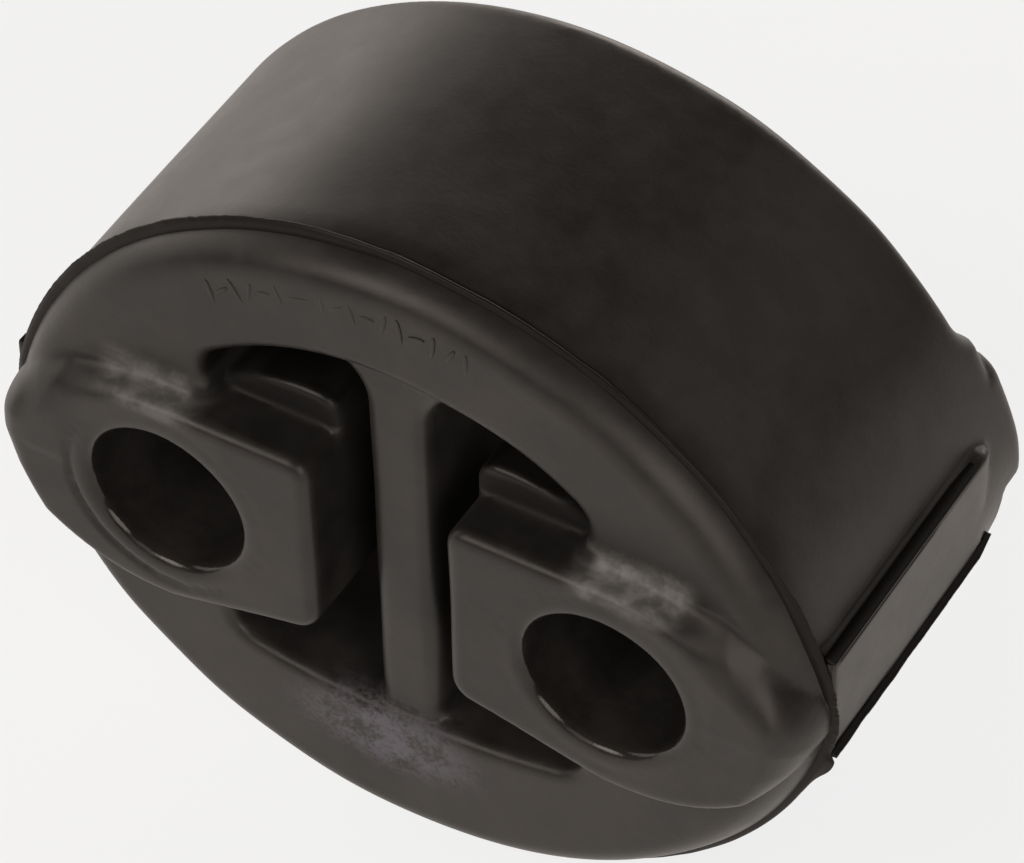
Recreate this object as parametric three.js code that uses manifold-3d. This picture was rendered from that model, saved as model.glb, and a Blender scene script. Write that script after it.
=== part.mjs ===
import * as THREE from 'three'
import { mergeVertices } from 'three/addons/utils/BufferGeometryUtils.js'
import Module from 'manifold-3d'

const wasm = await Module()
wasm.setup()

// Millimetres. X runs from peg hole to peg hole, Y from the front face to the back, Z up.
const bodyHeight = 54
const arcRadius = 32.5
const tipRadius = 12.5
const archDepth = 27.7
const frontEdgeDepth = 4.7
const frontEdgeInset = 2.8
const backEdgeRadius = 1.4
const restFlatWidth = 5

// The two blocks that hold the peg holes stand proud of the arches at both faces.
const padStep = 2.4
const padTop = 9.1
const padBottomInner = 7
const padBottomOuter = 9.6
const padArcX = 18.5
const padArcRadius = 14
const padFlatEnd = 22.8
const padFallDegrees = 38
const padTopBlend = 5
const padBottomBlend = 6
const padEdgeRadius = 0.8
const padCornerRadius = 1.6

const pegHoleSpacing = 34
const pegHoleRadius = 6
const pegRimChamfer = 0.5
const rimGrooveRadius = 7.8
const rimGrooveWidth = 0.8
const rimGrooveDepth = 0.3

// The opening between the arches, and the rib that stands in the middle of it.
const openingHalfLength = 15
const openingEndLean = 0.38
const openingLowHalfLength = 13.9
const topArchThickness = 8.9
const lowerArchThickness = 12.1
const lowerArchInnerRadius = 60
const openingCornerRadius = 1.8
const openingChamfer = 0.6
const ribWidth = 4.9
const ribRecess = 0.7
const ribEdgeRadius = 1.2
const ribFlareRadius = 4
const ribFootRadius = 1
const ribRoot = 4
const slotWidth = 2.8

// The stop on top of each block limits how far the block can rise.
const stopTop = 11.7
const stopRecess = 4.3
const stopShoulder = 10.4
const stopFallDegrees = 25
const stopEdgeRadius = 0.9
const stopCornerRadius = 1.8
const stopRoot = 1.5

// The mould's parting lines: a thin ring near the front, and a flat strip at each tip.
const partingDepth = 4.75
const flashHeight = 0.5
const flashThickness = 0.45
const flashLowEnd = 5
const stripTop = 5.8
const stripBottom = 3.2
const stripLength = 23.2
const stripProud = 0.07
const stripRoot = 5
const stripGrooveWidth = 0.85
const stripGrooveDepth = 0.9
const stripLipWidth = 0.6
const ledgeGrooveRadius = 0.85

const archSegments = 41
const tipSegments = 8
const roundSegments = 5
const holeSegments = 48

const halfHeight = bodyHeight / 2
const arcCentreDrop = arcRadius - halfHeight
const pegHoleX = pegHoleSpacing / 2
const tipCentreX = Math.sqrt((arcRadius - tipRadius) ** 2 - arcCentreDrop ** 2)
const tipReach = tipCentreX + tipRadius
const stripFace = tipReach + stripProud
const archFront = -archDepth / 2
const archBack = archDepth / 2
const padFront = archFront - padStep
const padBack = archBack + padStep
const padInnerX = ribWidth / 2 + slotWidth
const clearance = 5
const farClearance = 3 * clearance

const rubber = new THREE.MeshStandardMaterial({ color: 0x35322f, roughness: 0.55, metalness: 0 })

function toSolid(geometry) {
  const plain = geometry.clone()
  plain.deleteAttribute('normal')
  plain.deleteAttribute('uv')
  const merged = mergeVertices(plain, 1e-5)
  const places = new Float32Array(merged.attributes.position.array)
  const corners = []
  const index = merged.index.array
  let volume = 0
  const a = new THREE.Vector3()
  const b = new THREE.Vector3()
  const c = new THREE.Vector3()
  for (let i = 0; i < index.length; i += 3) {
    if (index[i] === index[i + 1] || index[i + 1] === index[i + 2] || index[i] === index[i + 2]) continue
    a.fromArray(places, index[i] * 3)
    b.fromArray(places, index[i + 1] * 3)
    c.fromArray(places, index[i + 2] * 3)
    volume += a.dot(b.cross(c))
    corners.push(index[i], index[i + 1], index[i + 2])
  }
  if (volume < 0) corners.reverse()
  return new wasm.Manifold(new wasm.Mesh({
    numProp: 3,
    vertProperties: places,
    triVerts: new Uint32Array(corners),
  }))
}

function toGeometry(solid) {
  const mesh = solid.getMesh()
  const geometry = new THREE.BufferGeometry()
  geometry.setAttribute('position', new THREE.BufferAttribute(new Float32Array(mesh.vertProperties), 3))
  geometry.setIndex(new THREE.BufferAttribute(new Uint32Array(mesh.triVerts), 1))
  geometry.computeVertexNormals()
  return geometry
}

function arcPoints(x, z, radius, startAngle, endAngle, segments) {
  const points = []
  for (let i = 0; i <= segments; i++) {
    const angle = startAngle + (endAngle - startAngle) * i / segments
    points.push(new THREE.Vector2(x + radius * Math.cos(angle), z + radius * Math.sin(angle)))
  }
  return points
}

// Rounds the corners of a polygon given as [x, z, radius] rows.
function roundedPolygon(rows, segments = 4) {
  const points = []
  rows.forEach(([x, z, radius], i) => {
    const corner = new THREE.Vector2(x, z)
    if (!radius) {
      points.push(corner)
      return
    }
    const before = rows[(i + rows.length - 1) % rows.length]
    const after = rows[(i + 1) % rows.length]
    const toBefore = new THREE.Vector2(before[0] - x, before[1] - z).normalize()
    const toAfter = new THREE.Vector2(after[0] - x, after[1] - z).normalize()
    const halfAngle = Math.acos(toBefore.dot(toAfter)) / 2
    const middle = toBefore.clone().add(toAfter).normalize()
    const centre = corner.clone().addScaledVector(middle, radius / Math.sin(halfAngle))
    const start = corner.clone().addScaledVector(toBefore, radius / Math.tan(halfAngle)).sub(centre)
    const end = corner.clone().addScaledVector(toAfter, radius / Math.tan(halfAngle)).sub(centre)
    const turn = Math.atan2(start.cross(end), start.dot(end))
    points.push(...arcPoints(centre.x, centre.y, radius, start.angle(), start.angle() + turn, segments))
  })
  return points
}

// Extrudes an outline drawn in X and Z along Y, with its edges rounded inward.
// An inset that differs from the edge gives an oval rounding.
function slab(points, frontY, backY, edge = 0, segments = roundSegments, inset = edge) {
  const depth = backY - frontY - 2 * edge
  const geometry = new THREE.ExtrudeGeometry(new THREE.Shape(points), {
    depth,
    bevelEnabled: edge > 0,
    bevelThickness: edge,
    bevelSize: inset,
    bevelOffset: -inset,
    bevelSegments: segments,
  })
  geometry.rotateX(Math.PI / 2)
  geometry.translate(0, backY - edge, 0)
  return toSolid(geometry)
}

// Turns a profile of [radius, y] rows about an axis parallel to Y.
function turned(rows, x, z) {
  const profile = rows.map(([radius, y]) => new THREE.Vector2(radius, y))
  const geometry = new THREE.LatheGeometry(profile, holeSegments)
  geometry.translate(x, 0, z)
  return toSolid(geometry)
}

function mirrorX(points) {
  return points.map((point) => new THREE.Vector2(-point.x, point.y)).reverse()
}

// Two arches of one radius whose ends run into round tips, with a small flat spot to stand on.
function bodyOutline(grow = 0) {
  const joinAngle = Math.atan2(arcCentreDrop, tipCentreX)
  const foot = [-restFlatWidth / 2, restFlatWidth / 2].map((x) => new THREE.Vector2(x, -halfHeight - grow))
  const arch = arcRadius + grow
  const tip = tipRadius + grow
  const top = arcPoints(0, -arcCentreDrop, arch, joinAngle, Math.PI - joinAngle, archSegments)
  const left = arcPoints(-tipCentreX, 0, tip, Math.PI - joinAngle, Math.PI + joinAngle, tipSegments)
  const bottom = arcPoints(0, arcCentreDrop, arch, Math.PI + joinAngle, 2 * Math.PI - joinAngle, archSegments)
  const lowLeft = bottom.slice(1).filter((point) => point.x < -restFlatWidth)
  const lowRight = bottom.filter((point) => point.x > restFlatWidth)
  const right = arcPoints(tipCentreX, 0, tip, -joinAngle, joinAngle, tipSegments)
  return [...top.slice(1), ...left.slice(1), ...lowLeft, ...foot, ...lowRight, ...right.slice(1)]
}

// The front edge is rounded more than the back edge.
function roundedBody(frontY, backY) {
  const outline = bodyOutline()
  const front = slab(outline, frontY, backY + farClearance, frontEdgeDepth, roundSegments, frontEdgeInset)
  const back = slab(outline, frontY - farClearance, backY, backEdgeRadius)
  return front.intersect(back)
}

function topInnerHeight(x) {
  const radius = arcRadius - topArchThickness
  return Math.sqrt(radius * radius - x * x) - arcCentreDrop
}

function lowerInnerHeight(x) {
  const deepest = lowerArchThickness - halfHeight
  return deepest + lowerArchInnerRadius - Math.sqrt(lowerArchInnerRadius ** 2 - x * x)
}

// Where the leaning end of the opening stands at a given height.
function openingEnd(z) {
  return openingHalfLength + openingEndLean * (z - topInnerHeight(openingHalfLength))
}

// One opening from end to end, later filled in part by the rib, the blocks and their stops.
function openingOutline(grow = 0) {
  const low = openingLowHalfLength + grow
  const top = topInnerHeight(openingHalfLength) + grow
  const rightEnd = [
    [low, lowerInnerHeight(openingLowHalfLength) - grow, openingCornerRadius],
    [low, 0, 0],
    [openingEnd(0) + grow, 0, 0],
    [openingHalfLength + grow, top, openingCornerRadius],
  ]
  const rows = [...rightEnd]
  for (let i = 4; i >= -4; i--) {
    const x = openingHalfLength * i / 6
    rows.push([x, topInnerHeight(x) + grow, 0])
  }
  rows.push(...rightEnd.map(([x, z, radius]) => [-x, z, radius]).reverse())
  for (let i = -4; i <= 4; i++) {
    const x = openingLowHalfLength * i / 6
    rows.push([x, lowerInnerHeight(x) - grow, 0])
  }
  return roundedPolygon(rows)
}

function opening() {
  const through = slab(openingOutline(), padFront - clearance, padBack + clearance)
  const wide = openingOutline(openingChamfer)
  const frontFlare = slab(wide, padFront - clearance, archFront + openingChamfer, openingChamfer, 1)
  const backFlare = slab(wide, archBack - openingChamfer, padBack + clearance, openingChamfer, 1)
  return through.add(frontFlare).add(backFlare)
}

// The lower side of a block slants away from the rib and curves up towards the tip.
function padBottomOutline() {
  const arcZ = padArcRadius - padBottomOuter
  const arc = arcPoints(padArcX, arcZ, padArcRadius, -Math.PI / 2, 0, 16)
  return roundedPolygon([
    [padInnerX, -padBottomInner, padCornerRadius],
    [pegHoleX, -padBottomOuter, padBottomBlend],
    ...arc.map((point) => [point.x, point.y, 0]),
    [padArcX + padArcRadius, padTop + clearance, 0],
    [padInnerX, padTop + clearance, 0],
  ])
}

// The upper side is level and falls away towards the tip.
function padTopOutline() {
  const beyond = tipReach + clearance
  const fall = (beyond - padFlatEnd) * Math.tan(THREE.MathUtils.degToRad(padFallDegrees))
  return roundedPolygon([
    [padInnerX, -padBottomOuter - clearance, 0],
    [beyond, -padBottomOuter - clearance, 0],
    [beyond, padTop - fall, 0],
    [padFlatEnd, padTop, padTopBlend],
    [padInnerX, padTop, padCornerRadius],
  ])
}

function pads(side) {
  const place = (points) => (side > 0 ? points : mirrorX(points))
  const lower = slab(place(padBottomOutline()), padFront, padBack, padEdgeRadius, 3)
  const upper = slab(place(padTopOutline()), padFront, padBack, padEdgeRadius, 3)
  return lower.intersect(upper).intersect(roundedBody(padFront, padBack))
}

function stop(side) {
  const outerX = openingHalfLength + stopRoot
  const fall = (outerX - stopShoulder) * Math.tan(THREE.MathUtils.degToRad(stopFallDegrees))
  const points = roundedPolygon([
    [padInnerX, 0, 0],
    [outerX, 0, 0],
    [outerX, stopTop - fall, 0],
    [stopShoulder, stopTop, stopCornerRadius],
    [padInnerX, stopTop, stopCornerRadius],
  ])
  const placed = side > 0 ? points : mirrorX(points)
  return slab(placed, padFront + stopRecess, padBack - stopRecess, stopEdgeRadius, 3)
}

function rib() {
  const half = ribWidth / 2
  const top = topInnerHeight(0)
  const foot = lowerInnerHeight(0)
  const flareZ = topInnerHeight(half + ribFlareRadius) - ribFlareRadius
  const footZ = foot + ribFootRadius
  const right = [
    ...arcPoints(half + ribFootRadius, footZ, ribFootRadius, -Math.PI / 2, -Math.PI, 3),
    ...arcPoints(half + ribFlareRadius, flareZ, ribFlareRadius, Math.PI, Math.PI / 2, 6),
  ]
  const outline = [
    new THREE.Vector2(half + ribFootRadius, foot - ribRoot),
    ...right,
    new THREE.Vector2(half + ribFlareRadius, top + ribRoot),
  ]
  const whole = [...outline, ...mirrorX(outline)]
  return slab(whole, archFront + ribRecess, archBack - ribRecess, ribEdgeRadius, 3)
}

function pegHole(x) {
  const rim = pegHoleRadius + pegRimChamfer
  return turned([
    [0, padFront - clearance],
    [rim, padFront - clearance],
    [rim, padFront],
    [pegHoleRadius, padFront + pegRimChamfer],
    [pegHoleRadius, padBack - pegRimChamfer],
    [rim, padBack],
    [rim, padBack + clearance],
    [0, padBack + clearance],
  ], x, 0)
}

function rimGroove(x, faceY, inward) {
  const half = rimGrooveWidth / 2
  return turned([
    [rimGrooveRadius - half, faceY - inward],
    [rimGrooveRadius + half, faceY - inward],
    [rimGrooveRadius + half, faceY],
    [rimGrooveRadius, faceY + inward * rimGrooveDepth],
    [rimGrooveRadius - half, faceY],
    [rimGrooveRadius - half, faceY - inward],
  ], x, 0)
}

// The ring of flash runs over the upper arch and ends a little below both tips.
function flashRing() {
  const ringY = padFront + partingDepth
  const half = flashThickness / 2
  const ring = slab(bodyOutline(flashHeight), ringY - half, ringY + half)
  const below = slab(roundedPolygon([
    [-tipReach - clearance, -halfHeight - clearance, 0],
    [tipReach + clearance, -halfHeight - clearance, 0],
    [tipReach + clearance, -flashLowEnd, 0],
    [-tipReach - clearance, -flashLowEnd, 0],
  ]), padFront, padBack)
  return ring.subtract(below)
}

// A flat strip at the tip, with a groove and a lip of flash along its lower edge.
function tipStrip(side) {
  const inner = tipReach - stripRoot
  const lipTop = -stripBottom + stripLipWidth
  const points = [
    [inner, -stripBottom],
    [stripFace + flashHeight, -stripBottom - flashHeight],
    [stripFace, lipTop],
    [stripFace - stripGrooveDepth, lipTop],
    [stripFace - stripGrooveDepth, lipTop + stripGrooveWidth],
    [stripFace, lipTop + stripGrooveWidth],
    [stripFace, stripTop],
    [inner, stripTop],
  ].map(([x, z]) => new THREE.Vector2(x, z))
  const placed = side > 0 ? points : mirrorX(points)
  const front = padFront + partingDepth
  return slab(placed, front, front + stripLength)
}

// The round groove between the strip's upper edge and the arch.
function ledgeGroove(side) {
  const x = side * (stripFace - 0.8 * ledgeGrooveRadius)
  const front = padFront + partingDepth
  const round = arcPoints(x, stripTop, ledgeGrooveRadius, 0, 2 * Math.PI, 12).slice(1)
  return slab(round, front, front + stripLength)
}

function hangerSolid() {
  let solid = roundedBody(archFront, archBack)
  solid = solid.add(flashRing())
  solid = solid.subtract(opening())
  solid = solid.add(rib())
  for (const side of [-1, 1]) {
    solid = solid.add(pads(side))
    solid = solid.add(stop(side))
    solid = solid.add(tipStrip(side))
    solid = solid.subtract(ledgeGroove(side))
  }
  for (const x of [-pegHoleX, pegHoleX]) {
    solid = solid.subtract(pegHole(x))
    solid = solid.subtract(rimGroove(x, padFront, 1))
    solid = solid.subtract(rimGroove(x, padBack, -1))
  }
  return solid
}

const hanger = new THREE.Group()
hanger.name = 'hanger_rubber'

const block = new THREE.Mesh(toGeometry(hangerSolid()), rubber)
block.name = 'rubber_block'
block.position.z = halfHeight
hanger.add(block)

export default hanger
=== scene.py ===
import math
import bpy
import numpy as np
from mathutils import Matrix, Vector, noise


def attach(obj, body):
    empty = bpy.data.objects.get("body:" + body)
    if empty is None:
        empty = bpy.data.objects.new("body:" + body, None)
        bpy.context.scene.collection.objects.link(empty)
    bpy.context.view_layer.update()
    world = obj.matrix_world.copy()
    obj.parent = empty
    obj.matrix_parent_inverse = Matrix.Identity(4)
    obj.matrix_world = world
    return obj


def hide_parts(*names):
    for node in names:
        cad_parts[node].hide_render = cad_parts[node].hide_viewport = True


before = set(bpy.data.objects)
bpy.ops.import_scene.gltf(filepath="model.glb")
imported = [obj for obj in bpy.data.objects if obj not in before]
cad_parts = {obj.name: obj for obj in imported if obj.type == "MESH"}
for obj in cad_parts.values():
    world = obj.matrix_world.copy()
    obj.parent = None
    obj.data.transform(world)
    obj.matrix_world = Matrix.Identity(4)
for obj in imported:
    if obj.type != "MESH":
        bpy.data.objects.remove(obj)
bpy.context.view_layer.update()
mm = 0.001

# camera: where the photographer stood, as angles round the rubber
cameraSettings = {
    "azimuth": 31.765,
    "elevation": 45.884,
    "roll": -1.684,
    "distance": 0.3742,
    "aim": (0.00078, 0.00005, 0.02835),
    "lens": 193.36,
    "sensor": 36,
}


def outwards(place):
    # the direction to a camera or lamp; azimuth 0 is straight in front of the rubber
    turn, lift = math.radians(place["azimuth"]), math.radians(place["elevation"])
    return Vector((math.sin(turn) * math.cos(lift), -math.cos(turn) * math.cos(lift), math.sin(lift)))


def makeCamera(settings):
    back = outwards(settings)
    data = bpy.data.cameras.new("productCamera")
    data.lens = settings["lens"]
    data.sensor_width = settings["sensor"]
    camera = bpy.data.objects.new("productCamera", data)
    bpy.context.collection.objects.link(camera)
    look = (-back).to_track_quat("-Z", "Y").to_matrix().to_4x4()
    rolled = look @ Matrix.Rotation(math.radians(settings["roll"]), 4, "Z")
    camera.matrix_world = Matrix.Translation(Vector(settings["aim"]) + back * settings["distance"]) @ rolled
    bpy.context.scene.camera = camera
    print("camera set")


makeCamera(cameraSettings)


class Wire:
    # a node's output that can stand in a sum; numbers may be on either side
    def __init__(self, tree, socket):
        self.tree, self.socket = tree, socket

    def maths(self, operation, first, second=0.0):
        return self.tree.node("ShaderNodeMath", {"operation": operation}, {0: first, 1: second})

    def __add__(self, other):
        return self.maths("ADD", self, other)

    def __radd__(self, other):
        return self.maths("ADD", other, self)

    def __sub__(self, other):
        return self.maths("SUBTRACT", self, other)

    def __rsub__(self, other):
        return self.maths("SUBTRACT", other, self)

    def __mul__(self, other):
        return self.maths("MULTIPLY", self, other)

    def __rmul__(self, other):
        return self.maths("MULTIPLY", other, self)

    def __truediv__(self, other):
        return self.maths("DIVIDE", self, other)

    def __rtruediv__(self, other):
        return self.maths("DIVIDE", other, self)

    def __abs__(self):
        return self.maths("ABSOLUTE", self)

    def lesser(self, other):
        return self.maths("MINIMUM", self, other)

    def root(self):
        return self.maths("SQRT", self)

    def ramp(self, low, high):
        # 0 below low, 1 above high, eased between; low above high turns it round
        return self.tree.node("ShaderNodeMapRange", {"interpolation_type": "SMOOTHSTEP"},
                              {"Value": self, "From Min": low, "From Max": high})


class Nodes:
    # one material's or world's node tree
    def __init__(self, owner):
        owner.use_nodes = True
        self.nodeTree = owner.node_tree
        self.nodeTree.nodes.clear()

    def node(self, kind, settings=None, values=None, output=0):
        made = self.nodeTree.nodes.new(kind)
        for name, value in (settings or {}).items():
            setattr(made, name, value)
        for name, value in (values or {}).items():
            socket = made.inputs[name]
            if isinstance(value, Wire):
                self.nodeTree.links.new(value.socket, socket)
            else:
                socket.default_value = value
        return Wire(self, made.outputs[output]) if made.outputs else made

    def outputsOf(self, wire, *names):
        return [Wire(self, wire.socket.node.outputs[name]) for name in names]

    def mix(self, share, first, second):
        # the Mix node's colour sockets are its seventh and eighth, and its third output
        return self.node("ShaderNodeMix", {"data_type": "RGBA"}, {0: share, 6: first, 7: second}, 2)

    def noise(self, at, scale, detail, roughness=0.55, distortion=0.0):
        return self.node("ShaderNodeTexNoise", {}, {
            "Vector": at, "Scale": scale, "Detail": detail, "Roughness": roughness, "Distortion": distortion})


# black rubber: warm charcoal, satin where it was moulded against polished steel
rubberSettings = {
    "deep": (0.0145, 0.0132, 0.0122, 1),
    "worn": (0.034, 0.0312, 0.029, 1),
    "chalk": (0.200, 0.192, 0.222, 1),
    "dust": (0.27, 0.262, 0.25, 1),
    # near-black colour of the painted shade, in the gaps above the blocks and on the top of the upper arch on the
    # right
    "paintedShade": (0.002, 0.0018, 0.0016, 1),
    "sheen": (1.0, 0.95, 0.91, 1),
    "specular": 0.38,
    "roughness": 0.32,
    # noises: scale, detail, roughness, distortion
    "cloudNoise": (0.10, 4.0, 0.6, 0.4),
    "mottleNoise": (0.45, 5.0, 0.62, 0.2),
    "grainNoise": (2.6, 4.0, 0.6),
    "pitNoise": (6.5, 2.0, 0.5),
    "blotchNoise": (0.9, 3.0, 0.55),
    # how much of each colour, and what each adds to the roughness and to the height of the skin
    "wornBy": {"cloud": 0.9, "mottle": 0.5},
    "chalkShare": 0.75,
    "dustShare": 0.85,
    "paintedShadeShare": 0.8,
    "roughBy": {"mottle": 0.16, "chalk": 0.3, "dust": 0.1, "gapShade": 0.42, "paintedShade": -0.16, "bore": -0.26},
    "highBy": {"grain": 0.6, "pits": 0.25, "mottle": 1.2, "chalk": 3.0, "dust": 2.0},
    "grainHeight": 0.016,
    # places in mm, each ramp from its weak end to its full end
    "wornRamp": (0.45, 1.0),
    "frontFace": (-11.0, -13.5),
    "chalkPlace": (-1.5, -17.6),
    "chalkSpread": (7.5, 3.4),
    "chalkFade": (1.25, 0.35),
    "chalkBreaks": {"mottle": 0.7, "grain": 0.5, "ramp": (0.48, 0.72)},
    "stepInner": (13.4, 16.4),
    "stepOuter": (23.4, 21.4),
    "stepFoot": (8.0, 9.4),
    "stepTop": (10.9, 8.8),
    "stepWander": 0.8,
    "dustBlotches": (0.34, 0.66),
    "dustAmount": (0.5, 0.42),
    "leftDust": 0.72,
    # where the gaps above the blocks are darkened with painted shade
    "gapOuter": (16.0, 15.0),
    "gapInner": (2.8, 3.3),
    "gapFoot": (8.9, 9.4),
    "gapTop": (19.0, 17.0),
    "gapDepth": (13.7, 13.0),
    "gapFloor": (10.4, 9.7),
    "gapFloorDepth": (15.9, 14.9),
    "gapRough": (11.3, 10.6),
    # where the top of the upper arch on the right, about mid-depth, is darkened with painted shade
    "bandShadePlace": (18.6, 4.3),
    "bandShadeSpread": (3.6, 2.4),
    "bandShadeFoot": (10.0, 14.0),
    "bandShadeFade": (1.5, 0.5),
    "bandShadeWander": 0.9,
    "boreEdge": (6.6, 6.1),
}
# flash keeps the deep colour all over, without the paler worn tone, and shines less
thinRubberSettings = {**rubberSettings, "worn": rubberSettings["deep"], "specular": 0.13}


def squaredDistance(first, second, place, spread):
    # from a place, with the spread each way as the unit
    first, second = (first - place[0]) / spread[0], (second - place[1]) / spread[1]
    return first * first + second * second


def rubberMaterial(name, settings, sizes):
    material = bpy.data.materials.new(name)
    tree = Nodes(material)
    place = tree.node("ShaderNodeTexCoord", output="Object")
    at = tree.node("ShaderNodeVectorMath", {"operation": "SCALE"}, {0: place, "Scale": 1 / mm})
    split = tree.node("ShaderNodeSeparateXYZ", values={0: at})
    x, y, z = tree.outputsOf(split, "X", "Y", "Z")
    z = z - sizes["halfHeight"]
    side, deep = abs(x), abs(y)

    cloud = tree.noise(at, *settings["cloudNoise"])
    mottle = tree.noise(at, *settings["mottleNoise"])
    grain = tree.noise(at, *settings["grainNoise"])
    pits = tree.noise(at, *settings["pitNoise"])
    blotches = tree.noise(at, *settings["blotchNoise"])

    front = y.ramp(*settings["frontFace"])
    breaks = settings["chalkBreaks"]
    chalk = squaredDistance(x, z, settings["chalkPlace"], settings["chalkSpread"]).root().ramp(*settings["chalkFade"])
    chalk = front * chalk * (mottle * breaks["mottle"] + grain * breaks["grain"]).ramp(*breaks["ramp"])

    # dull patches on the small step above each block, a little less on the left one
    onStep = side.ramp(*settings["stepInner"]) * side.ramp(*settings["stepOuter"])
    onStep = onStep * (z + mottle * settings["stepWander"]).ramp(*settings["stepFoot"])
    onStep = onStep * (z - grain).ramp(*settings["stepTop"])
    least, more = settings["dustAmount"]
    dust = front * onStep * (least + blotches.ramp(*settings["dustBlotches"]) * more)
    dust = dust * (settings["leftDust"] + x.ramp(-2, 2) * (1 - settings["leftDust"]))

    # painted shade: the gaps above the blocks are darkened in colour, and made duller
    gapShade = side.ramp(*settings["gapOuter"]) * side.ramp(*settings["gapInner"])
    gapShade = gapShade * z.ramp(*settings["gapFoot"]) * z.ramp(*settings["gapTop"])
    gapFloor = z.ramp(*settings["gapFloor"]) * deep.ramp(*settings["gapFloorDepth"])
    gapShade = gapShade * (deep.ramp(*settings["gapDepth"]) + gapFloor).lesser(1.0)

    # painted shade on the top of the upper arch on the right
    paintedShade = squaredDistance(x, y, settings["bandShadePlace"], settings["bandShadeSpread"])
    paintedShade = (paintedShade + mottle * settings["bandShadeWander"]).ramp(*settings["bandShadeFade"])
    paintedShade = z.ramp(*settings["bandShadeFoot"]) * paintedShade

    bore = squaredDistance(side, z, (sizes["holeSpacing"] / 2, 0), (1, 1)).root().ramp(*settings["boreEdge"])

    share = cloud * settings["wornBy"]["cloud"] + mottle * settings["wornBy"]["mottle"]
    colour = tree.mix(share.ramp(*settings["wornRamp"]), settings["deep"], settings["worn"])
    colour = tree.mix(chalk * settings["chalkShare"], colour, settings["chalk"])
    colour = tree.mix(dust * settings["dustShare"], colour, settings["dust"])
    # painted shade: both masks darken the colour towards the near-black shade colour
    colour = tree.mix((paintedShade + gapShade).lesser(1.0) * settings["paintedShadeShare"], colour, settings["paintedShade"])

    masks = {"mottle": mottle, "chalk": chalk, "dust": dust, "gapShade": gapShade * z.ramp(*settings["gapRough"]),
             "paintedShade": paintedShade, "bore": bore}
    rough = sum((masks[name] * amount for name, amount in settings["roughBy"].items()), settings["roughness"])
    lifts = {"grain": grain, "pits": pits, "mottle": mottle, "chalk": chalk * grain, "dust": dust * grain}
    height = sum((lifts[name] * amount for name, amount in settings["highBy"].items()), 0.0)
    bump = tree.node("ShaderNodeBump", {}, {
        "Strength": 1.0, "Distance": settings["grainHeight"] * mm, "Height": height})
    shader = tree.node("ShaderNodeBsdfPrincipled", {}, {
        "Base Color": colour, "Roughness": rough, "Specular IOR Level": settings["specular"],
        "Specular Tint": settings["sheen"], "Normal": bump})
    tree.node("ShaderNodeOutputMaterial", {}, {"Surface": shader})
    print(name, "made")
    return material


# the moulded body, in millimetres; y runs front to back, z is measured from mid height
bodySizes = {
    "halfHeight": 27.0,
    "archRadius": 32.5,
    "tipRadius": 12.5,
    "holeSpacing": 34.0,
    "holeRadius": 6.0,
    "holeRim": 0.8,
    "archFaces": (-13.85, 14.1),
    "blockFaces": (-16.19, 16.19),
    "frontInset": 2.8,
    "frontDepth": 4.7,
    "backEdge": 1.4,
    "openingEnd": (15.0, 11.9, 0.38),  # x, z and lean of the gaps' upper ends
    "openingLowEnd": 13.9,
    "topArch": 8.9,
    "lowerArch": 12.1,
    "lowerArchInside": 60.0,
    "openingCorner": 1.8,
    "openingEdge": 0.8,
    "ribHalfWidth": 2.45,
    "ribSetBack": 0.7,
    "ribEdge": 1.2,
    "ribFlare": 4.0,
    "ribFoot": 1.0,
    "ribRoot": 3.0,
    "blockInner": 5.25,
    "blockTop": 9.1,
    "blockBottomInner": 7.0,
    "blockBottomOuter": 9.6,
    "blockArc": (18.5, 14.0),  # x of its centre, and its radius
    "blockFlatEnd": 22.8,
    "blockFall": (33.0, 0.0),  # degrees, front and back
    "blockFallRound": 3.0,
    "blockRise": (20.0, 26.0, 1.1),  # from, to, and how much at the back
    "backSwell": 2.2,
    "backSwellSpan": (18.0, 25.0),
    "backSwellShare": 0.55,
    "blockEnd": (2.2, 2.8),
    "blockBlend": 2.5,
    "blockCorner": 1.6,
    "blockFillet": 0.7,
    "blockFilletInset": (0.9, 3.9),
    "blockEdge": 0.9,
    "blockSoftening": (20.5, 26.5, 2.0),  # from, to, and how much wider the edge gets
    "blockSofteningHeight": (-2.5, 2.5),
    "stopTop": 11.7,
    "stopShoulder": 10.4,
    "stopFall": 25.0,
    "stopFallRound": 1.0,
    "stopRoot": 1.5,
    "stopSetBack": 4.3,
    "stopEdge": 0.6,
    "stopCorner": 1.8,
    "stopFillet": 0.15,
    "stopFilletHeight": (8.5, 9.5),
    "stripSpan": (-3.2, 5.8),
    "leftStripDrop": 1.5,
    "stripFace": 31.75,
    "stripFaces": (-11.4, 12.6),
    "stripRoot": 5.0,
    "stripEdge": 0.35,
    "stripEnd": 3.2,
    "stripGroove": (-2.72, 0.28, 0.6),  # z, half width, depth
    "ledgeGroove": 0.4,
    "ledgeInset": 0.48,
    "ringGroove": 7.8,
    "ringGrooveLift": 0.05,
    "ringGrooveRim": 0.08,
    "ringGrooveDepth": (0.09, 0.3),  # all round, and at the lower left of the left hole
    "ringGrooveDeepEnd": 0.7,
    "waviness": 0.025,
}
# grid that the body's skin is taken from: fine where the edges are, coarse along the flat inside
skinGrid = {
    "reach": (33.2, 27.7),
    "step": 0.38,
    "middle": (-9.2, 9.6),
    "depthSteps": (0.36, 1.35, 0.42),
    "spare": 0.6,
    "settleRounds": 2,
    "settleProbe": 0.03,
    "settleLimit": 0.15,
    "gentlest": 0.3,
    "limits": (0.5, 0.05, 0.2),  # how far past its nominal faces a corner may lie
}


def climb(value, start, end):
    # 0 at start, 1 at end, a straight line between
    return np.clip((value - start) / (end - start), 0, 1)


def roundedMeet(a, b, radius):
    # what two shapes share, with the edge between them rounded
    a, b = a + radius, b + radius
    return np.minimum(np.maximum(a, b), 0) + np.hypot(np.maximum(a, 0), np.maximum(b, 0)) - radius


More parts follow.
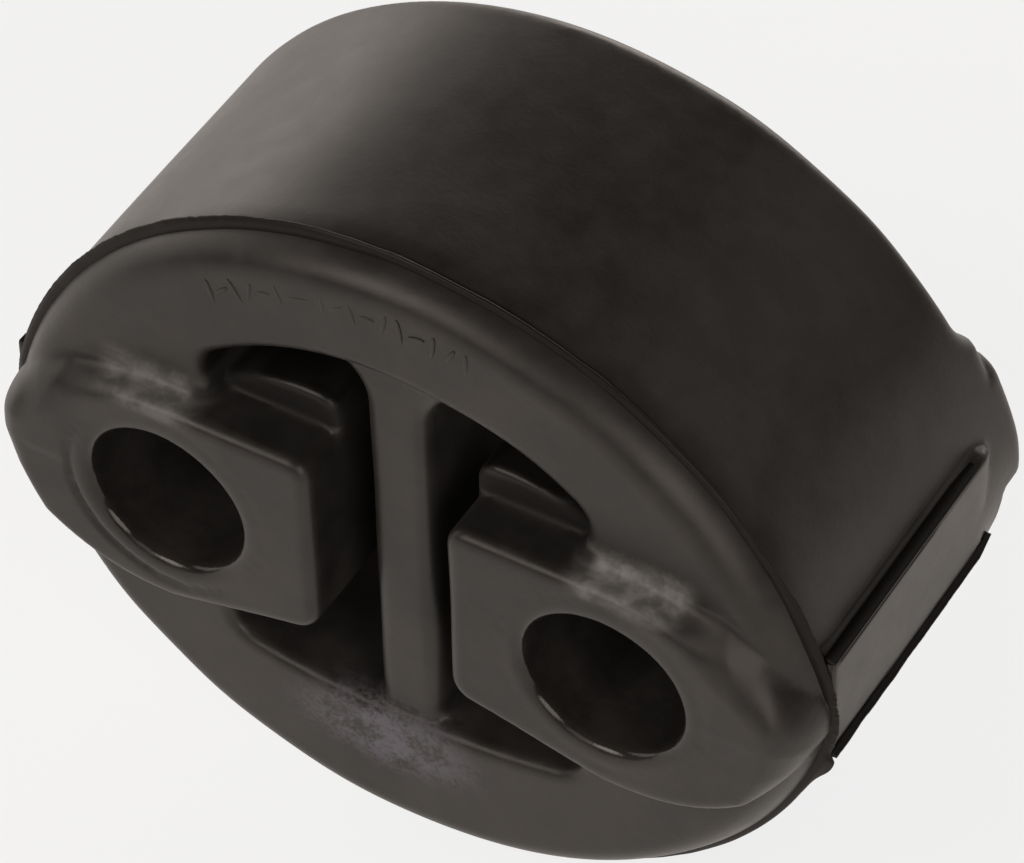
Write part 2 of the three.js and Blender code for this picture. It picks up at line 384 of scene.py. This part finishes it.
def roundedJoin(a, b, radius):
    # two shapes as one, with a fillet in the corner between them
    return -roundedMeet(-a, -b, radius)


def ovalMeet(a, b, intoFirst, intoSecond):
    # as roundedMeet, with an edge that isn't equally wide both ways
    a, b = a / intoFirst + 1, b / intoSecond + 1
    meet = np.minimum(np.maximum(a, b), 0) + np.hypot(np.maximum(a, 0), np.maximum(b, 0)) - 1
    return meet * np.sqrt(intoFirst * intoSecond)


def outlineShape(sizes):
    # how far below the middle the upper arch has its centre, and where the tip's centre is
    drop = sizes["archRadius"] - sizes["halfHeight"]
    return drop, math.sqrt((sizes["archRadius"] - sizes["tipRadius"]) ** 2 - drop ** 2)


def outlineField(x, z, sizes):
    # two arches of one radius that run into round tips; below zero is inside
    drop, tipCentre = outlineShape(sizes)
    x, z = abs(x), abs(z)
    arch = np.hypot(x, z + drop) - sizes["archRadius"]
    end = np.hypot(x - tipCentre, z) - sizes["tipRadius"]
    return np.where(tipCentre * z - drop * (x - tipCentre) < 0, end, arch)


def thickOf(flat, y, faces, edge):
    # a flat shape between two faces, with the same rounded edge at both
    return np.maximum(roundedMeet(flat, faces[0] - y, edge), roundedMeet(flat, y - faces[1], edge))


def bodyBetween(outline, y, faces, sizes):
    front = ovalMeet(outline, faces[0] - y, sizes["frontInset"], sizes["frontDepth"])
    return np.maximum(front, roundedMeet(outline, y - faces[1], sizes["backEdge"]))


def backClimb(x, z, sizes):
    # near the tips the back face swells until it meets the blocks: 0 on the arch, 1 at the block's top
    top = sizes["blockTop"] + sizes["blockRise"][2]
    return climb(z, top + sizes["backSwell"], top) ** 2 * climb(abs(x), *sizes["backSwellSpan"]) * (z > 0)


def archesField(x, y, z, sizes, outline, opening):
    near, far = sizes["archFaces"]
    swell = sizes["backSwellShare"] * (sizes["blockFaces"][1] - far)
    arches = bodyBetween(outline, y, (near, far + swell * backClimb(x, z, sizes)), sizes)
    return roundedMeet(arches, -opening, sizes["openingEdge"])


def openingField(x, z, sizes):
    drop = sizes["archRadius"] - sizes["halfHeight"]
    lowCentre = sizes["lowerArch"] - sizes["halfHeight"] + sizes["lowerArchInside"]
    top = np.hypot(x, z + drop) - (sizes["archRadius"] - sizes["topArch"])
    low = np.hypot(x, z - lowCentre) - sizes["lowerArchInside"]
    endX, endZ, lean = sizes["openingEnd"]
    leaning = (abs(x) - endX - lean * (z - endZ)) / math.hypot(1, lean)
    end = np.where(z > 0, leaning, abs(x) - sizes["openingLowEnd"])
    return roundedMeet(np.maximum(top, low), end, sizes["openingCorner"])


def ribField(x, y, z, sizes, opening):
    flare = np.where(z > 0, sizes["ribFlare"], sizes["ribFoot"])
    gaps = roundedMeet(opening, sizes["ribHalfWidth"] - abs(x), flare)
    rib = np.maximum(-gaps, opening - sizes["ribRoot"])
    faces = [face - math.copysign(sizes["ribSetBack"], face) for face in sizes["archFaces"]]
    return thickOf(rib, y, faces, sizes["ribEdge"])


def blockField(x, y, z, sizes, outline):
    x = abs(x)
    run = sizes["holeSpacing"] / 2 - sizes["blockInner"]
    slope = math.atan2(sizes["blockBottomOuter"] - sizes["blockBottomInner"], run)
    below = -z - sizes["blockBottomInner"]
    bottomInner = below * math.cos(slope) - (x - sizes["blockInner"]) * math.sin(slope)
    arcX, arcRadius = sizes["blockArc"]
    arcZ = arcRadius - sizes["blockBottomOuter"]
    arc = np.hypot(x - arcX, np.minimum(z - arcZ, 0)) - arcRadius
    bottom = np.maximum(bottomInner, np.where(x > arcX, arc, -z - sizes["blockBottomOuter"]))
    # the top falls towards the tip at the front, and rises a little at the back
    fall = np.radians(np.where(y < 0, *sizes["blockFall"]))
    riseStart, riseEnd, rise = sizes["blockRise"]
    top = z - sizes["blockTop"] - rise * climb(x, riseStart, riseEnd) * (y > 0)
    falling = top * np.cos(fall) + (x - sizes["blockFlatEnd"]) * np.sin(fall)
    top = roundedMeet(top, falling, sizes["blockFallRound"])
    flat = roundedMeet(sizes["blockInner"] - x, np.maximum(bottom, top), sizes["blockCorner"])
    # the edge along the falling part is softer, and at the tip it is as wide as the body's own edge
    start, end, extra = sizes["blockSoftening"]
    edge = sizes["blockEdge"] + extra * climb(x, start, end) * climb(z, *sizes["blockSofteningHeight"])
    atTip = climb(outline - flat, -sizes["blockBlend"], 0)
    whole = np.maximum(flat, roundedMeet(outline, top, np.where(y < 0, *sizes["blockEnd"])))
    near, far = sizes["blockFaces"]
    inset, depth = (edge + (wide - edge) * atTip for wide in (sizes["frontInset"], sizes["frontDepth"]))
    front = ovalMeet(whole, near - y, inset, depth)
    return np.maximum(front, roundedMeet(whole, y - far, edge + (sizes["backEdge"] - edge) * atTip))


def stopField(x, y, z, sizes):
    x, top = abs(x), z - sizes["stopTop"]
    fall = math.radians(sizes["stopFall"])
    falling = top * math.cos(fall) + (x - sizes["stopShoulder"]) * math.sin(fall)
    top = roundedMeet(top, falling, sizes["stopFallRound"])
    flat = roundedMeet(sizes["blockInner"] - x, top, sizes["stopCorner"])
    flat = np.maximum(flat, np.maximum(x - sizes["openingEnd"][0] - sizes["stopRoot"], -z))
    faces = [face - math.copysign(sizes["stopSetBack"], face) for face in sizes["blockFaces"]]
    return thickOf(flat, y, faces, sizes["stopEdge"])


def stripTop(x, sizes):
    return sizes["stripSpan"][1] - sizes["leftStripDrop"] * (x < 0)


def stripField(x, y, z, sizes):
    reach = sizes["stripFace"]
    flat = np.maximum(abs(x) - reach, reach - sizes["stripRoot"] - abs(x))
    flat = roundedMeet(flat, np.maximum(z - stripTop(x, sizes), sizes["stripSpan"][0] - z), sizes["stripEdge"])
    middle, halfWide, deep = sizes["stripGroove"]
    groove = np.maximum(abs(z - middle) - halfWide, reach - deep - abs(x))
    flat = np.maximum(flat, -groove)
    flat = np.maximum(flat, sizes["stripFaces"][0] - y)
    return roundedMeet(flat, y - sizes["stripFaces"][1], sizes["stripEnd"])


def ledgeField(x, y, z, sizes):
    # the fine groove along each strip's upper edge
    near, far = sizes["stripFaces"]
    inward = abs(x) - sizes["stripFace"] + sizes["ledgeInset"]
    groove = np.hypot(inward, z - stripTop(x, sizes)) - sizes["ledgeGroove"]
    return np.maximum(groove, np.maximum(near - y, y - far + sizes["stripEnd"]))


def ringGrooveField(x, y, z, sizes, fromHole):
    # the fine groove round each hole
    shallow, deepest = sizes["ringGrooveDepth"]
    lowLeft = -(x + sizes["holeSpacing"] / 2 + z) / sizes["ringGroove"]
    depth = shallow + (deepest - shallow) * climb(lowLeft, 0, 1 / sizes["ringGrooveDeepEnd"]) * (x < 0)
    fromFace = abs(y) - sizes["blockFaces"][1] - sizes["ringGrooveLift"]
    return np.hypot(fromHole - sizes["ringGroove"], fromFace) - depth


def rubberField(x, y, z, sizes):
    # how far a point lies outside the rubber, in mm; below zero is inside
    outline = outlineField(x, z, sizes)
    opening = openingField(x, z, sizes)
    solid = archesField(x, y, z, sizes, outline, opening)
    solid = np.minimum(solid, ribField(x, y, z, sizes, opening))
    start, end, extra = sizes["blockSoftening"]
    fillet = sizes["blockFillet"] + extra * climb(abs(x), start, end) * (z > 0)
    fillet = fillet * climb(-outline, *sizes["blockFilletInset"]) * (1 - backClimb(x, z, sizes) * (y > 0))
    solid = roundedJoin(solid, blockField(x, y, z, sizes, outline), fillet)
    fillet = sizes["stopFillet"] * climb(z, *sizes["stopFilletHeight"])
    solid = roundedJoin(solid, stopField(x, y, z, sizes), fillet)
    solid = np.minimum(solid, stripField(x, y, z, sizes))
    solid = np.maximum(solid, -ledgeField(x, y, z, sizes))
    fromHole = np.hypot(abs(x) - sizes["holeSpacing"] / 2, z)
    solid = roundedMeet(solid, sizes["holeRadius"] - fromHole, sizes["holeRim"])
    solid = roundedMeet(solid, -ringGrooveField(x, y, z, sizes, fromHole), sizes["ringGrooveRim"])
    # hand-cut moulds and soft rubber are never quite even
    wave = np.sin(0.31 * x + 1.1) * np.sin(0.27 * z + 0.4) + np.sin(0.53 * z - 0.41 * x + 0.23 * y)
    return solid + sizes["waviness"] * wave


def skinOf(field, axes):
    # one corner in each cell that the surface passes, one face across each edge that it crosses
    cells = tuple(n - 1 for n in field.shape)
    size = cells[0] * cells[1] * cells[2]
    total, count = np.zeros((size, 3)), np.zeros(size)
    rings = []
    for axis in range(3):
        low = field[tuple(slice(0, -1) if k == axis else slice(None) for k in range(3))]
        high = field[tuple(slice(1, None) if k == axis else slice(None) for k in range(3))]
        crossed = (low < 0) != (high < 0)
        spot = np.argwhere(crossed)
        share = low[crossed] / (low[crossed] - high[crossed])
        point = np.stack([axes[k][spot[:, k]] for k in range(3)], 1)
        point[:, axis] += share * (axes[axis][spot[:, axis] + 1] - axes[axis][spot[:, axis]])
        u, v = (axis + 1) % 3, (axis + 2) % 3
        ring = []
        for du, dv in ((1, 1), (0, 1), (0, 0), (1, 0)):
            cell = spot.copy()
            cell[:, u] -= du
            cell[:, v] -= dv
            flat = np.ravel_multi_index(tuple(cell.T), cells)
            for k in range(3):
                total[:, k] += np.bincount(flat, point[:, k], size)
            count += np.bincount(flat, minlength=size)
            ring.append(flat)
        ring = np.stack(ring, 1)
        outward = low[crossed] < 0
        rings += [ring[outward], ring[~outward][:, ::-1]]
    used = np.flatnonzero(count)
    number = np.full(size, -1)
    number[used] = np.arange(len(used))
    return total[used] / count[used, None], number[np.concatenate(rings)]


def settleOn(points, fieldAt, grid):
    # slides the corners along the slope until they lie on the surface itself
    probe = grid["settleProbe"]
    for _ in range(grid["settleRounds"]):
        here = fieldAt(*points.T)
        slope = np.stack([
            (fieldAt(*(points + probe * way).T) - fieldAt(*(points - probe * way).T)) / (2 * probe)
            for way in np.eye(3)
        ], 1)
        steep = np.maximum((slope ** 2).sum(1), grid["gentlest"])
        move = -(here / steep)[:, None] * slope
        length = np.maximum(np.linalg.norm(move, axis=1), 1e-9)
        points = points + move * np.minimum(1, grid["settleLimit"] / length)[:, None]
    return points


def gridLine(stretches):
    # (from, to, step) stretches, end to end
    parts = []
    for start, end, step in stretches:
        parts.append(np.linspace(start, end, max(2, round((end - start) / step) + 1))[:-1])
    parts.append([stretches[-1][1]])
    return np.concatenate(parts)


def meshPiece(name, points, faces, material):
    mesh = bpy.data.meshes.new(name)
    mesh.from_pydata((np.asarray(points) * mm + np.array([0, 0, bodySizes["halfHeight"] * mm])).tolist(), [], faces)
    mesh.validate()
    mesh.shade_smooth()
    piece = bpy.data.objects.new(name, mesh)
    bpy.context.collection.objects.link(piece)
    mesh.materials.append(material)
    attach(piece, "root")
    return piece


def makeBody(sizes, grid, material):
    near, far = sizes["blockFaces"]
    reachX, reachZ = grid["reach"]
    middleStart, middleEnd = grid["middle"]
    nearStep, middleStep, farStep = grid["depthSteps"]
    axes = [
        gridLine([(-reachX, reachX, grid["step"])]),
        gridLine([(near - grid["spare"], middleStart, nearStep), (middleStart, middleEnd, middleStep),
                  (middleEnd, far + grid["spare"], farStep)]),
        gridLine([(-reachZ, reachZ, grid["step"])]),
    ]
    x, y, z = np.meshgrid(*axes, indexing="ij", sparse=True)
    points, faces = skinOf(rubberField(x, y, z, sizes), axes)
    points = settleOn(points, lambda px, py, pz: rubberField(px, py, pz, sizes), grid)
    pastX, pastY, pastZ = grid["limits"]
    lowest = np.array([-sizes["stripFace"] - pastX, near - pastY, -sizes["halfHeight"]])
    highest = np.array([sizes["stripFace"] + pastX, far + pastY, sizes["halfHeight"] + pastZ])
    body = meshPiece("rubberBody", np.clip(points, lowest, highest), faces.tolist(), material)
    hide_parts("rubber_block")
    print("body made,", len(faces) * 2, "triangles")


# flash: thin rubber squeezed out between the mould's halves; angles round the outline in radians
flashSizes = {
    "ringY": -11.5,
    "ringRoot": 1.2,
    "ringHeight": 0.55,
    "ringThick": 0.36,
    "ringSteps": 900,
    "ringRagged": 0.3,
    "ringLean": 0.08,
    "ringWander": 0.06,
    "ringLeast": 0.12,
    "ringThins": (0.62, 0.50),  # over the right shoulder it is nearly gone
    "ringReturns": (1.45, 1.80),
    "ringUnderneath": 2.4,  # how fast it ends below the tips
    "ringDip": (2.85, 0.45, 0.6),  # angle, width, share taken off
    "ringNub": (5.99, 0.05, 0.6),  # angle, width, height
    "floorGap": 0.02,
    "stripHeight": (0.32, 0.0),  # lower edge, upper edge
    "stripRagged": 0.25,
    "stripDroop": 0.3,
    "stripThick": 0.3,
    "stripRoot": 0.8,
    "stripStart": 0.05,
    "stripStops": (1.3, 3.6),  # how far before the strip's end, lower edge and upper edge
    "stripInset": 0.12,
    "stripSteps": 120,
}


def outlinePoint(angle, sizes):
    # a point of the outline and its outward direction, at an angle round the middle of the nearer circle
    drop, tipCentre = outlineShape(sizes)
    join = math.atan2(drop, tipCentre)
    out = Vector((math.cos(angle), 0, math.sin(angle)))
    folded = math.atan2(abs(out.z), abs(out.x))
    if folded < join:
        middle, radius = Vector((math.copysign(tipCentre, out.x), 0, 0)), sizes["tipRadius"]
    else:
        middle, radius = Vector((0, 0, -math.copysign(drop, out.z))), sizes["archRadius"]
    return middle + out * radius, out


def ragged(place, seed, sharp=1.0):
    # 0 to 1, different along the line but always the same for one seed
    slow = noise.noise(Vector((place * 0.35, seed, 0.0)))
    quick = noise.noise(Vector((place * 2.1, seed, 7.0)))
    return min(1.0, max(0.0, 0.62 + 0.75 * slow + 0.45 * sharp * quick))


def hump(value, middle, width):
    return math.exp(-((value - middle) / width) ** 2)


def ringFlashHeight(angle, along, flash):
    # full over the left shoulder and at the tips, nearly gone over the right shoulder and underneath
    if angle > math.pi:
        kept = max(0.0, 1 - flash["ringUnderneath"] * abs(math.sin(angle)))
    else:
        least = flash["ringLeast"]
        kept = least + (1 - least) * max(climb(angle, *flash["ringThins"]), climb(angle, *flash["ringReturns"]))
    share = flash["ringRagged"]
    height = flash["ringHeight"] * (1 - share + share * ragged(along, 3.0)) * kept
    middle, width, taken = flash["ringDip"]
    height *= 1 - taken * hump(angle, middle, width)
    middle, width, nub = flash["ringNub"]
    return height + nub * hump(angle, middle, width)


def makeRingFlash(sizes, flash, material):
    points, faces = [], []
    steps, root = flash["ringSteps"], flash["ringRoot"]
    for i in range(steps):
        angle = 2 * math.pi * i / steps
        place, out = outlinePoint(angle, sizes)
        along = angle * 30
        height = ringFlashHeight(angle, along, flash)
        lean = flash["ringLean"] * noise.noise(Vector((along * 0.5, 11.0, 0.0)))
        y = flash["ringY"] + flash["ringWander"] * noise.noise(Vector((along * 0.2, 17.0, 0.0)))
        # wide at its root inside the rubber, thin at its edge
        section = ((-root, -0.8), (-0.1, -0.5), (height, -0.2), (height, 0.2), (-0.1, 0.5), (-root, 0.8))
        for outBy, side in section:
            at = place + out * outBy
            upright = max(at.z, flash["floorGap"] - sizes["halfHeight"])
            points.append((at.x, y + side * flash["ringThick"] + lean * (outBy > 0), upright))
    corners = len(section)
    for i in range(steps):
        a, b = i * corners, (i + 1) % steps * corners
        for k in range(corners):
            n = (k + 1) % corners
            faces.append((a + k, b + k, b + n, a + n))
    meshPiece("ringFlash", points, faces, material)


def makeStripFlash(sizes, flash, material):
    points, faces = [], []
    near, far = sizes["stripFaces"]
    steps, share, inner = flash["stripSteps"], flash["stripRagged"], -flash["stripRoot"]
    # the lower edge of both strips and the upper edge of the right one
    for seed, (side, edge) in enumerate(((-1, -1), (1, -1), (1, 1))):
        first, upper = len(points), (edge + 1) // 2
        length = far - near - flash["stripStops"][upper]
        for i in range(steps + 1):
            thick = flash["stripThick"] * min(1, 0.1 + (steps - i) / 18)
            y = near + flash["stripStart"] + length * i / steps
            height = flash["stripHeight"][upper] * (1 - share + share * ragged(y * 1.3, 20.0 + seed, 0.5))
            height *= min(1, (steps - i) / 12)
            z = sizes["stripSpan"][upper] - edge * flash["stripInset"]
            drooped = z + edge * height * flash["stripDroop"]
            for outBy, at in ((inner, z - edge * thick), (height, drooped - edge * 0.25 * thick),
                              (height, drooped + edge * 0.25 * thick), (inner, z + edge * thick)):
                points.append((side * (sizes["stripFace"] + outBy), y, at))
        for i in range(steps):
            a = first + i * 4
            for k in range(4):
                n = (k + 1) % 4
                ring = (a + k, a + 4 + k, a + 4 + n, a + n)
                faces.append(ring if side * edge < 0 else ring[::-1])
        start = (first, first + 1, first + 2, first + 3)
        end = tuple(steps * 4 + corner for corner in start)
        faces += [start[::-1], end] if side * edge > 0 else [start, end[::-1]]
    meshPiece("stripFlash", points, faces, material)


# low raised strokes on the upper arch, where a mould number stands
markSizes = {
    "radius": 28.6,
    "height": 0.07,
    "barWidth": 0.19,
    "rows": 8,
    "turns": 16,
    # place in degrees, length, slant in degrees
    "strokes": (
        (118.0, 1.6, 80), (116.0, 1.1, 20), (113.6, 1.7, 100), (111.2, 1.3, 60), (108.8, 0.8, 0), (106.4, 1.5, 95),
        (103.0, 1.8, 4), (99.4, 1.4, 85), (97.2, 1.0, 30), (95.0, 1.6, 100), (92.6, 0.8, 0), (90.2, 1.5, 75),
        (87.8, 1.7, 100), (85.2, 0.9, 15), (82.8, 1.5, 90), (80.2, 1.2, 70), (77.8, 1.6, 100),
    ),
}


def makeMarks(sizes, marks, material):
    drop = outlineShape(sizes)[0]
    points, faces = [], []
    rows, turns, wide = marks["rows"], marks["turns"], marks["barWidth"]
    for degrees, length, slant in marks["strokes"]:
        angle = math.radians(degrees)
        out = Vector((math.cos(angle), 0, math.sin(angle)))
        middle = out * marks["radius"] + Vector((0, sizes["archFaces"][0], -drop))
        angle += math.radians(slant)
        along, out = Vector((-math.sin(angle), 0, math.cos(angle))), Vector((math.cos(angle), 0, math.sin(angle)))
        half = length / 2 + wide
        first = len(points)
        for i in range(1, rows):
            lift = math.pi * i / rows
            size = math.sin(lift)
            for k in range(turns):
                turn = 2 * math.pi * k / turns
                at = middle + along * half * size * math.cos(turn) + out * wide * size * math.sin(turn)
                at.y -= marks["height"] * math.cos(lift)
                points.append(tuple(at))
        top, bottom = len(points), len(points) + 1
        points.append(tuple(middle - Vector((0, marks["height"], 0))))
        points.append(tuple(middle + Vector((0, marks["height"], 0))))
        last = first + (rows - 2) * turns
        for k in range(turns):
            n = (k + 1) % turns
            for i in range(rows - 2):
                a = first + i * turns
                faces.append((a + k, a + n, a + turns + n, a + turns + k))
            faces.append((top, first + n, first + k))
            faces.append((bottom, last + k, last + n))
    meshPiece("mouldMarks", points, faces, material)


rubber = rubberMaterial("blackRubber", rubberSettings, bodySizes)
thinRubber = rubberMaterial("thinRubber", thinRubberSettings, bodySizes)
makeBody(bodySizes, skinGrid, rubber)
makeRingFlash(bodySizes, flashSizes, thinRubber)
makeStripFlash(bodySizes, flashSizes, thinRubber)
makeMarks(bodySizes, markSizes, rubber)
print("flash and marks made")


# studio: a pale floor and soft lamps in a dim room that only the camera sees as white
studioSettings = {
    "floorSize": 4.0,
    "floorColour": (0.86, 0.86, 0.86, 1),
    "patchColour": (0.8428, 0.8428, 0.8428, 1),
    "patchNoise": (3.0, 3.0),
    "floorRoughness": 0.8,
    "floorSpecular": 0.1,
    "floorWhite": 0.80,
    "white": (1, 1, 1, 1),
    "warmWhite": (1.02, 0.945, 0.885, 1),
    "dimRoom": (0.012, 0.012, 0.012, 1),
    "lamps": {
        "frontLamp": {"azimuth": 0, "elevation": 36, "distance": 0.7, "size": 0.45, "power": 0.5},
        "rimLamp": {"azimuth": -31, "elevation": 38, "distance": 0.7, "size": 0.34, "power": 1.35},
        "rightLamp": {"azimuth": 50, "elevation": 25, "distance": 0.7, "size": 0.45, "power": 1.55},
        "leftLamp": {"azimuth": -85, "elevation": 18, "distance": 0.7, "size": 0.45, "power": 0.65},
        "lowLeftLamp": {"azimuth": -112, "elevation": 10, "distance": 0.7, "size": 0.45, "power": 1.3},
        "farLeftLamp": {"azimuth": -142, "elevation": 11, "distance": 0.7, "size": 0.45, "power": 0.55},
        "backLamp": {"azimuth": -170, "elevation": 10, "distance": 0.7, "size": 0.45, "power": 1.9},
        "farRightLamp": {"azimuth": 140, "elevation": 30, "distance": 0.7, "size": 0.45, "power": 0.3},
    },
}


def floorMaterial(settings):
    material = bpy.data.materials.new("paleFloor")
    tree = Nodes(material)
    place = tree.node("ShaderNodeTexCoord", output="Object")
    patch = tree.noise(place, *settings["patchNoise"])
    paint = tree.node("ShaderNodeBsdfPrincipled", {}, {
        "Base Color": tree.mix(patch, settings["floorColour"], settings["patchColour"]),
        "Roughness": settings["floorRoughness"], "Specular IOR Level": settings["floorSpecular"]})
    path = tree.node("ShaderNodeLightPath")
    camera, glossy, through = tree.outputsOf(path, "Is Camera Ray", "Is Glossy Ray", "Is Transmission Ray")
    shade = tree.mix(camera, settings["warmWhite"], settings["white"])
    white = tree.node("ShaderNodeEmission", {}, {"Color": shade, "Strength": 1.0})
    seen = (camera + glossy + through).lesser(1.0) * settings["floorWhite"]
    surface = tree.node("ShaderNodeMixShader", {}, {0: seen, 1: paint, 2: white})
    tree.node("ShaderNodeOutputMaterial", {}, {"Surface": surface})
    return material


def makeFloor(settings):
    size = settings["floorSize"] / 2
    mesh = bpy.data.meshes.new("studioFloor")
    mesh.from_pydata([(-size, -size, 0), (size, -size, 0), (size, size, 0), (-size, size, 0)], [], [(0, 1, 2, 3)])
    floor = bpy.data.objects.new("studioFloor", mesh)
    bpy.context.collection.objects.link(floor)
    mesh.materials.append(floorMaterial(settings))
    print("floor made")


def makeWorld(settings):
    world = bpy.data.worlds.new("studioWorld")
    bpy.context.scene.world = world
    tree = Nodes(world)
    camera = tree.outputsOf(tree.node("ShaderNodeLightPath"), "Is Camera Ray")[0]
    colour = tree.mix(camera, settings["dimRoom"], settings["white"])
    sky = tree.node("ShaderNodeBackground", {}, {"Color": colour, "Strength": 1.0})
    tree.node("ShaderNodeOutputWorld", {}, {"Surface": sky})
    print("world set")


def makeLamps(settings):
    middle = Vector((0, 0, bodySizes["halfHeight"] * mm))
    for name, lamp in settings["lamps"].items():
        away = outwards(lamp)
        data = bpy.data.lights.new(name, "AREA")
        data.shape = "DISK"
        data.size = lamp["size"]
        data.energy = lamp["power"]
        data.color = settings["warmWhite"][:3]
        light = bpy.data.objects.new(name, data)
        bpy.context.collection.objects.link(light)
        light.location = middle + away * lamp["distance"]
        light.rotation_mode = "QUATERNION"
        light.rotation_quaternion = (-away).to_track_quat("-Z", "Y")
    print("lamps set")


makeFloor(studioSettings)
makeWorld(studioSettings)
makeLamps(studioSettings)
bpy.context.scene.view_settings.view_transform = "Standard"
